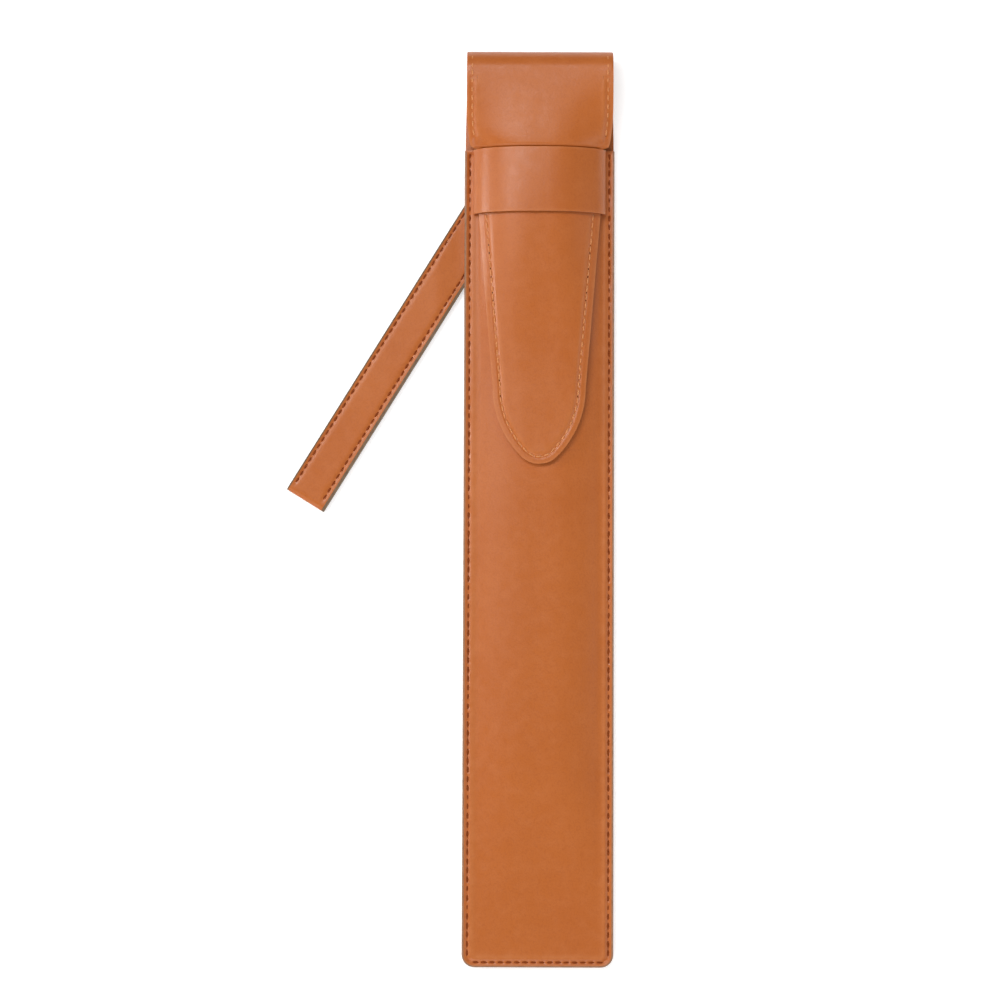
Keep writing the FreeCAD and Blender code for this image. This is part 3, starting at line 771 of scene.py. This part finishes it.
def flapHeight(x, y):
    inside = distanceTo(flapEdge, x, y)
    wider = (flap["tongueInset"] - flap["stitchInset"]) * fading(*flapZones["inset"], y)
    row = flap["stitchInset"] + wider
    seam = flap["lip"] * hump(inside, row + flap["lipStep"], case["lipReach"])
    seam -= flap["furrow"] * hump(inside, row, case["furrowReach"])
    fade = fading(*flapZones["levels"], y)  # no furrow where the fold laps over it
    return flapPlain(x, y) + seam * flapPull(x, y) * fade


flapRings = [0.1, 0.2, 0.3, 0.3, 0.17, 0.17, 0.16, 0.17, 0.17, 0.16, 0.17, 0.2, 0.3]
flapAcross = spread(-8.0, 8.0, 0.7)
flapAlong = spread(14.5, case["mouthY"] - 1.4, 1.9)
flapAlong += [case["mouthY"] + step for step in (-0.6, -0.35, -0.1, 0.15, 0.4, 0.7, 1.0, 1.5)]
flapAlong += spread(case["mouthY"] + 2.6, 95.2, 1.9)
straightEdge = flapOutline(0.0, tapered=False)
sheet = cutSheet(straightEdge, flapRings, flapAcross, flapAlong)
finerAlong(sheet, lambda x, y: distanceTo(straightEdge, x, y), flap["sewnZone"])
widen(sheet, 0.0)
for vert in sheet.verts:
    vert.co.z = flapHeight(vert.co.x, vert.co.y)
flapLeather = makePiece(sheet, "flapLeather", [leather, cutEdge])


def flapRubAndSheen(x, y):
    return rubAndSheenAt(distanceTo(flapEdge, x, y), flap["crest"], flap["crestSheen"])


paintRubAndSheen(flapLeather, flapRubAndSheen)
thicken(flapLeather, case["leather"], flap["arris"])
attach(flapLeather, "flap")
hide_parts("flap_cover", "flap_tongue")

innerEdge = flapOutline(flap["liningInset"], tapered=False)
sheet = cutSheet(innerEdge, [flap["liningRing"]], flapAcross[::2], flapAlong)
widen(sheet, flap["liningInset"])
layUnder(sheet, flapPlain)
flapInside = makePiece(sheet, "flapLining", [lining, lining])
thicken(flapInside, case["lining"] - inner["slack"], inner["arris"])
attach(flapInside, "flap")
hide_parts("flap_cover_lining", "flap_tongue_lining")
print("flap cut and shaped")

# stitches: one bent length of thread with a dark disc at each end, painted shade in its needle hole
bm = bmesh.new()
bowRound = ((stitch["length"] / 2) ** 2 + stitch["bow"] ** 2) / (2 * stitch["bow"])
halfTurn = math.asin(stitch["length"] / 2 / bowRound)
upright = Matrix.Translation((0, 0, bowRound)) @ Matrix.Rotation(math.radians(90), 4, "Y")
bmesh.ops.create_circle(bm, cap_ends=False, segments=stitch["sides"], radius=stitch["thick"], matrix=upright)
bmesh.ops.transform(bm, matrix=Matrix.Rotation(-halfTurn, 4, "Y"), verts=bm.verts)
bmesh.ops.spin(bm, geom=bm.verts[:] + bm.edges[:], cent=(0, 0, 0), axis=(0, 1, 0), angle=2 * halfTurn,
               steps=stitch["steps"], use_merge=False)
bmesh.ops.holes_fill(bm, edges=bm.edges, sides=stitch["sides"])
bmesh.ops.translate(bm, vec=(0, 0, stitch["bow"] * stitch["stand"] - bowRound), verts=bm.verts)
bmesh.ops.recalc_face_normals(bm, faces=bm.faces)
# dark discs, painted shade in the needle holes
for end in (-1, 1):
    spot = Matrix.Translation((end * (stitch["length"] / 2 + stitch["holeBeyond"]), 0, stitch["holeLift"]))
    ring = bmesh.ops.create_circle(bm, cap_ends=True, segments=8, radius=stitch["hole"], matrix=spot)
    for face in {face for vert in ring["verts"] for face in vert.link_faces}:
        face.material_index = 1
stitchMesh = bpy.data.meshes.new("oneStitch")
bm.to_mesh(stitchMesh)
bm.free()
sewnMesh = bpy.data.meshes.new("sewnStitch")


def sew(bm, place, along, out, firstSlot=0):
    # one stitch lying along the way given, on a surface that faces out
    ahead = along.normalized()
    side = out.cross(ahead).normalized()
    turn = Matrix((ahead, side, ahead.cross(side))).transposed().to_4x4()
    sway = Matrix.Rotation(math.radians(dice.uniform(-stitch["sway"], stitch["sway"])), 4, "Z")
    sway = sway @ Matrix.Scale(dice.uniform(stitch["smallest"], stitch["largest"]), 4)
    one = bmesh.new()
    one.from_mesh(stitchMesh)
    bmesh.ops.transform(one, matrix=Matrix.Translation(place) @ turn @ sway, verts=one.verts)
    for face in one.faces:
        face.material_index += firstSlot
    one.to_mesh(sewnMesh)
    one.free()
    bm.from_mesh(sewnMesh)


def surfacePoint(height, x, y, facing=1):
    # a point on a shaped sheet, and which way the sheet faces there
    near = stitch["probe"]
    slopeX = (height(x + near, y) - height(x - near, y)) / (2 * near)
    slopeY = (height(x, y + near) - height(x, y - near)) / (2 * near)
    return Vector((x, y, height(x, y))), Vector((-slopeX, -slopeY, 1.0)).normalized() * facing


def sewRow(name, node, path, pitch, height, body, facing=1, yarn=thread):
    bm = bmesh.new()
    for x, y, wayX, wayY in evenly(path, pitch):
        place, out = surfacePoint(height, x, y, facing)
        ahead, near = Vector((wayX, wayY, 0)).normalized(), stitch["probe"]
        rise = height(x + ahead.x * near, y + ahead.y * near)
        rise -= height(x - ahead.x * near, y - ahead.y * near)
        sew(bm, place, Vector((ahead.x, ahead.y, rise / (2 * near))), out)
    row = makePiece(bm, name, [yarn, needleHoleShade])
    if body:
        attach(row, body)
    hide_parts(node)
    return row


def backHeight(x, y):
    return backPanel["furrow"] + backPanel["base"]


def flapSeat(x, y):
    # the thread lies deeper near the fold, where no furrow takes it in
    return flapHeight(x, y) - flap["topSeat"] * smooth(*flapZones["seats"], y)


for side, path in seamPaths.items():
    pitch, node = seamPitches[side], "stitches_" + side.lower()
    sewRow("frontStitches" + side, "front_" + node, path, pitch, frontHeight, "pouch")
    sewRow("backStitches" + side, "back_" + node, path, pitch, backHeight, "pouch", -1)
for side, path in flapPaths.items():
    node = "flap_stitches_" + side.lower()
    sewRow("flapStitches" + side, node, path, stitch["finePitch"], flapSeat, "flap", yarn=litFlapThread)
sewRow("tongueStitches", "tongue_stitches", tonguePath, stitch["finePitch"], flapHeight, "flap",
       yarn=litFlapThread)
print("seams sewn")

# fold over the top, in strips
fold = {
    "half": 16.2,
    "thick": 1.3,        # leather and lining together
    "stops": [0.0, 20.0, 90.0, 160.0, 177.2],  # degrees, from the back panel round to the flap
    "step": 2.5,
    "outerRim": [(0.6, 0.0), (0.22, 0.0), (0.07, 0.07), (0.0, 0.22)],  # in from the side, below the outside
    "innerRim": [(0.0, 0.3), (0.1, 0.28), (0.12, 0.05), (0.2, 0.0), (0.6, 0.0)],  # and above the inside
    "liningUpTo": 0.25,
    "edgeDepth": 0.06,
    "lap": 0.85,
    "lapStep": 0.042,
    "sewnFrom": 62.0,    # degrees
    "sewnTo": 172.0,
    "pitch": 30.0,
    "seat": 0.2,
}
foldCentre = Vector((0.0, case["foldY"], case["foldRound"]))


def onFold(degrees, radius):
    angle = math.radians(degrees)
    return foldCentre + Vector((0.0, math.sin(angle), -math.cos(angle))) * radius


def stepShare(value):
    # the place on a smooth step that has this value
    return 0.5 - math.sin(math.asin(1.0 - 2.0 * value) / 3.0)


for number, (low, high) in enumerate(zip(fold["stops"], fold["stops"][1:])):
    outer, inside, half = case["foldRound"], case["foldRound"] - fold["thick"], fold["half"]
    right = [(half - side, outer - deep) for side, deep in fold["outerRim"]]
    right += [(half - side, inside + deep) for side, deep in fold["innerRim"]]
    profile = right + [(-x, radius) for x, radius in reversed(right)]
    bm = bmesh.new()
    verts = [bm.verts.new(onFold(low, radius) + Vector((x, 0, 0))) for x, radius in profile]
    edges = [bm.edges.new((a, b)) for a, b in zip(verts, verts[1:] + verts[:1])]
    turned = bmesh.ops.spin(bm, geom=verts + edges, cent=foldCentre, axis=(1, 0, 0),
                            angle=math.radians(high - low), steps=max(int((high - low) / fold["step"]), 4),
                            use_merge=False)
    laps = []  # the first and last strip run on over the panel and the flap, so that no joint shows
    if low == fold["stops"][0]:
        laps.append((edges, 0.0))
    if high == fold["stops"][-1]:
        farRim = [part for part in turned["geom_last"] if isinstance(part, bmesh.types.BMEdge)]
        laps.append((farRim, fold["lapStep"]))
    for rim, rise in laps:
        made = bmesh.ops.extrude_edge_only(bm, edges=rim)["geom"]
        moved = [part for part in made if isinstance(part, bmesh.types.BMVert)]
        bmesh.ops.translate(bm, vec=(0.0, -fold["lap"], rise), verts=moved)
    caps = bmesh.ops.holes_fill(bm, edges=bm.edges, sides=len(profile))["faces"]
    for edge in {edge for cap in caps for edge in cap.edges}:
        edge.smooth = False  # so that a hidden end doesn't shade the leather beside it
    bmesh.ops.recalc_face_normals(bm, faces=bm.faces)
    for face in bm.faces:
        middle = face.calc_center_median()
        radius = math.hypot(middle.y - foldCentre.y, middle.z - foldCentre.z)
        if radius < inside + fold["liningUpTo"]:
            face.material_index = 2
        elif abs(middle.x) > half - fold["edgeDepth"]:
            face.material_index = 1
    for side in (-1, 1):
        for degrees in spread(fold["sewnFrom"], fold["sewnTo"], fold["pitch"]):
            if low <= degrees < high:
                out = (onFold(degrees, 1.0) - foldCentre).normalized()
                sideways = Vector((side * (half - flap["stitchInset"]), 0, 0))
                place = onFold(degrees, outer - fold["seat"]) + sideways
                sew(bm, place, Vector((side, 0, 0)).cross(out), out, 3)
    strip = makePiece(bm, f"foldLeather{number + 1}", [leather, cutEdge, lining, litFlapThread, needleHoleShade])
    core, lastStop = outer - fold["thick"] / 2, fold["stops"][-1]
    first, last = onFold(low, core) * millimetre, onFold(high, core) * millimetre
    firstShare, lastShare = stepShare(low / lastStop), stepShare(high / lastStop)
    whole = (last - first) / (lastShare - firstShare)
    start = first - whole * firstShare
    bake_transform(strip)
    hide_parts("flap_fold", "flap_fold_lining")
print("fold turned over")

# band over the tongue
band = {
    "low": 67.1,
    "length": 14.4,
    "top": 9.8,
    "half": 14.7,
    "round": 19.85,
    "cornerFrom": 11.0,
    "cornerFoot": 3.4,
    "cornerSteps": 14,
    "fullness": 3.0,     # 2 is an elliptical corner, more is squarer
    "footHalf": 14.5,
    "foot": 2.45,
    "leather": 0.76,
    "arris": 0.22,
    # how much lighter its edges are, for wear and a painted highlight on the arris
    "rubAndSheen": 0.8,
    "crown": 0.15,       # how far its two edges lie below its middle
    "tilt": 0.4,         # how much lower it lies towards the fold
    "tiltZone": (3.0, 5.0),  # not where it is sewn down
    "across": (9.6, 8.2, 6.8, 5.4, 4.0, 2.0),
    "along": [0.0, 0.1, 0.3, 0.7, 1.4, 2.6, 4.2, 5.8, 7.2],
}


def bandRise(x):
    # over the tongue's arch, before the ends turn down
    past = max(abs(x) - case["topHalf"], 0.0)
    return band["top"] - band["round"] + math.sqrt(band["round"] ** 2 - past ** 2)


corner, power = [], 2 / band["fullness"]
for number in range(band["cornerSteps"] + 1):
    angle = math.radians(90 * number / band["cornerSteps"])
    x = band["cornerFrom"] + (band["half"] - band["cornerFrom"]) * math.cos(angle) ** power
    lift = math.sin(angle) ** power
    corner.append((x, band["cornerFoot"] + (bandRise(x) - band["cornerFoot"]) * lift))
rightSide = [(band["footHalf"], band["foot"]), (band["half"] - 0.06, band["foot"] + 0.5)] + corner
rightSide += [(x, bandRise(x)) for x in band["across"]]
bandPath = rightSide + [(0.0, bandRise(0.0))] + [(-x, z) for x, z in reversed(rightSide)]
bandRows = band["along"] + [band["length"] - row for row in reversed(band["along"][:-1])]
bm = bmesh.new()
bmesh.ops.create_grid(bm, x_segments=len(bandPath) - 1, y_segments=len(bandRows) - 1, size=1.0)
for vert in bm.verts:
    x, z = bandPath[int(round((vert.co.x + 1.0) / 2.0 * (len(bandPath) - 1)))]
    row = bandRows[int(round((vert.co.y + 1.0) / 2.0 * (len(bandRows) - 1)))]
    share = 2.0 * row / band["length"] - 1.0
    lower = band["crown"] * share * share + band["tilt"] * row / band["length"]
    vert.co = Vector((x, band["low"] + row, z - lower * smooth(*band["tiltZone"], z)))
faceTowards(bm, Vector((0, 0, 1)))
holder = makePiece(bm, "retainingBand", [leather, cutEdge])


def bandRubAndSheen(x, y):
    inside = min(y - band["low"], band["low"] + band["length"] - y)
    return max(0.0, 1.0 - inside / rubAndSheenReach["edgeReach"]) * band["rubAndSheen"]


paintRubAndSheen(holder, bandRubAndSheen)
thicken(holder, band["leather"], band["arris"])
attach(holder, "pouch")
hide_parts("retaining_band")
print("band set over the tongue")

# strap: one strip folded double at its far end, skived thin where it goes into the seam
strap = {
    "half": 4.8,
    "slant": 31.7,       # degrees
    "bendX": -18.7,
    "bendY": 56.94,
    "far": -62.81,
    "ply": 0.95,
    "thick": 2.0,
    "turnFull": 1.1,     # how far the turn at its far end stands out of a half circle
    "rootX": -14.4,
    "edgeX": -16.6,      # where its stitches stop at the case's edge
    "seamZ": 1.3,
    "seamThick": 0.55,
    "skiveFrom": -23.2,
    "skiveTo": -17.2,
    "leftInset": 0.9,
    "rightInset": 1.5,
    "rowStart": 2.0,
    "furrow": 0.22,
    "furrowReach": 0.34,
    "furrowStart": 0.03,
    "arris": 0.3,
    "leftPaint": 0.3,
    # the right edge's paint is wider, as painted shade along that side
    "rightPaintAndShade": 0.65,
    "runRows": 230,
    "turnRows": 10,
}
slant = math.radians(strap["slant"])


def strapPlace(across, along, z):
    # from the strap's own lie to the case's frame
    x = strap["bendX"] + across * math.cos(slant) + along * math.sin(slant)
    y = strap["bendY"] - across * math.sin(slant) + along * math.cos(slant)
    return Vector((x, y, z))


def strapRoot(across):
    return (strap["rootX"] - strap["bendX"] - across * math.cos(slant)) / math.sin(slant)


strapPaths = {}
strapRows = {"Left": strap["leftInset"] - strap["half"], "Right": strap["half"] - strap["rightInset"]}
for side, across in strapRows.items():
    atEdge = strapRoot(across) + (strap["edgeX"] - strap["rootX"]) / math.sin(slant)
    start, end = strapPlace(across, strap["far"] + strap["rowStart"], 0), strapPlace(across, atEdge, 0)
    strapPaths[side] = [(start.x, start.y), (end.x, end.y)]
strapPull = pullOf([(path, stitch["finePitch"]) for path in strapPaths.values()])


def strapHeight(x, y):
    # upper face of the strap before it is skived
    across = (x - strap["bendX"]) * math.cos(slant) - (y - strap["bendY"]) * math.sin(slant)
    left, right = across + strap["half"], strap["half"] - across
    furrow = hump(left, strap["leftInset"], strap["furrowReach"])
    furrow += hump(right, strap["rightInset"], strap["furrowReach"])
    return strap["thick"] - strap["furrow"] * furrow * strapPull(x, y)


def skived(x, z):
    # thinned towards the seam, and brought to the seam's height
    share = smooth(strap["skiveFrom"], strap["skiveTo"], x)
    half = strap["thick"] / 2
    keep = 1.0 + (strap["seamThick"] / strap["thick"] - 1.0) * share
    return half + (strap["seamZ"] - half) * share + (z - half) * keep


leftColumns = [0.0, 0.1, 0.3, 0.5, 0.7, 0.9, 1.1, 1.3, 1.6, 2.2, 3.2]
rightColumns = [0.0, 0.1, 0.3, 0.6, 0.9, 1.1, 1.3, 1.5, 1.7, 1.9, 2.2, 2.8, 3.6]
strapColumns = [inset - strap["half"] for inset in leftColumns] + [0.0]
strapColumns += [strap["half"] - inset for inset in reversed(rightColumns)]
runRows, turnRows = strap["runRows"], strap["turnRows"]
lastRow = 2 * runRows + turnRows
radius = strap["thick"] / 2
turnAt = strap["far"] + radius
bm = bmesh.new()
bmesh.ops.create_grid(bm, x_segments=len(strapColumns) - 1, y_segments=lastRow, size=1.0)
for vert in bm.verts:
    across = strapColumns[int(round((vert.co.x + 1.0) / 2.0 * (len(strapColumns) - 1)))]
    row = int(round((vert.co.y + 1.0) / 2.0 * lastRow))
    if row <= runRows:  # lower ply, from the seam to the fold
        along, z = strapRoot(across) + (turnAt - strapRoot(across)) * row / runRows, 0.0
    elif row >= runRows + turnRows:  # upper ply, back to the seam
        share = (row - runRows - turnRows) / runRows
        along = turnAt + (strapRoot(across) - turnAt) * share
        place = strapPlace(across, along, 0)
        furrow = strapHeight(place.x, place.y) - strap["thick"]
        z = strap["thick"] + furrow * smooth(0.0, strap["furrowStart"], share)
    else:
        angle = math.pi * (row - runRows) / turnRows
        along = turnAt - radius * math.sin(angle) * strap["turnFull"]
        z = radius - radius * math.cos(angle)
    vert.co = strapPlace(across, along, z)
faceTowards(bm, Vector((0, 0, 1)))
strapLeather = makePiece(bm, "strapLeather", [leather, strapEdgeShaded])
thicken(strapLeather, strap["ply"], strap["arris"])
settle(strapLeather)
# painted edges on both sides; the right one is wider, as painted shade
for face in strapLeather.data.polygons:
    x, y = face.center.x * perMetre - strap["bendX"], face.center.y * perMetre - strap["bendY"]
    across = x * math.cos(slant) - y * math.sin(slant)
    if across + strap["half"] < strap["leftPaint"] or strap["half"] - across < strap["rightPaintAndShade"]:
        face.material_index = 1
for vert in strapLeather.data.vertices:
    vert.co.z = skived(vert.co.x * perMetre, vert.co.z * perMetre) * millimetre
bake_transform(strapLeather)
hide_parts("strap_strip", "strap_tail")
for side, path in strapPaths.items():
    row = sewRow("strapStitches" + side, "strap_stitches_" + side.lower(), path, stitch["finePitch"],
                 lambda x, y: skived(x, strapHeight(x, y)), None)
    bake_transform(row)
print("strap folded and sewn in")

# floor, light and camera, in metres
studio = {
    "floorHalf": 4.0,
    "floorBelow": 0.00005,
    "floorColour": (0.9, 0.9, 0.9, 1.0),
    "floorGlow": 0.48,
    "floorRoughness": 0.9,
    "floorGloss": 0.1,
    "white": (1.0, 1.0, 1.0, 1.0),
    "ambient": 0.3,
}
floorMesh = bmesh.new()
bmesh.ops.create_grid(floorMesh, x_segments=2, y_segments=2, size=studio["floorHalf"])
bmesh.ops.translate(floorMesh, vec=(0, 0, -studio["floorBelow"]), verts=floorMesh.verts)
mesh = bpy.data.meshes.new("floor")
floorMesh.to_mesh(mesh)
floorMesh.free()
floor = bpy.data.objects.new("floor", mesh)
scene.collection.objects.link(floor)
paper, nodes, links, shader, place = startFinish("whitePaper")
shader.inputs["Base Color"].default_value = studio["floorColour"]
shader.inputs["Roughness"].default_value = studio["floorRoughness"]
shader.inputs["Specular IOR Level"].default_value = studio["floorGloss"]
shader.inputs["Emission Color"].default_value = studio["white"]
rays = nodes.new("ShaderNodeLightPath")  # white to the eye and in reflections, without lighting the case
seen = sumNode(nodes, links, rays.outputs["Is Camera Ray"], rays.outputs["Is Glossy Ray"])
seen = sumNode(nodes, links, seen, rays.outputs["Is Transmission Ray"])
glow = sumNode(nodes, links, seen, studio["floorGlow"], "MULTIPLY")
links.new(glow, shader.inputs["Emission Strength"])
mesh.materials.append(paper)
floor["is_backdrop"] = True

world = bpy.data.worlds.new("studio")
world.use_nodes = True
scene.world = world
world.node_tree.nodes["Background"].inputs["Color"].default_value = studio["white"]
world.node_tree.nodes["Background"].inputs["Strength"].default_value = studio["ambient"]


def softBox(name, place, aim, size, power):
    lamp = bpy.data.lights.new(name, "AREA")
    lamp.shape = "RECTANGLE"
    lamp.size, lamp.size_y = size
    lamp.energy = power
    lampObject = bpy.data.objects.new(name, lamp)
    lampObject.location = place
    lampObject.rotation_mode = "QUATERNION"
    lampObject.rotation_quaternion = (Vector(aim) - Vector(place)).to_track_quat("-Z", "Y")
    scene.collection.objects.link(lampObject)


softBox("stripLight", (-0.42, 0.44, 1.15), aim=(-0.3, 0.03, 0), size=(0.9, 0.3), power=7.0)
softBox("leftLight", (-1.0, 0.15, 0.42), aim=(0, 0, 0), size=(0.4, 0.4), power=4.2)
softBox("rightLight", (0.9, -0.3, 0.5), aim=(0, 0, 0), size=(0.9, 0.9), power=2.7)
softBox("frontLight", (-0.3, -0.9, 0.7), aim=(0, 0, 0), size=(0.7, 0.7), power=4.2)

view = {
    "tilt": 3.0,         # degrees
    "roll": 0.2,
    "distance": 0.7,
    "aim": (-0.00857, 0.0036, 0.004),
    "focus": 3170.0,     # in the image's own dots
    "image": 1000.0,
    "sensor": 36.0,
}
tilt, roll = math.radians(view["tilt"]), math.radians(view["roll"])
backwards = Vector((0.0, -math.sin(tilt), math.cos(tilt)))
rightwards = Vector((1.0, 0.0, 0.0))
upwards = backwards.cross(rightwards)
turnedRight = rightwards * math.cos(roll) + upwards * math.sin(roll)
turnedUp = upwards * math.cos(roll) - rightwards * math.sin(roll)
lens = bpy.data.cameras.new("camera")
lens.sensor_width = view["sensor"]
lens.lens = view["focus"] / view["image"] * view["sensor"]
camera = bpy.data.objects.new("camera", lens)
turned = Matrix((turnedRight, turnedUp, backwards)).transposed().to_4x4()
camera.matrix_world = Matrix.Translation(Vector(view["aim"]) + backwards * view["distance"]) @ turned
scene.collection.objects.link(camera)
scene.camera = camera
print("lights and camera set")

low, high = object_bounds()
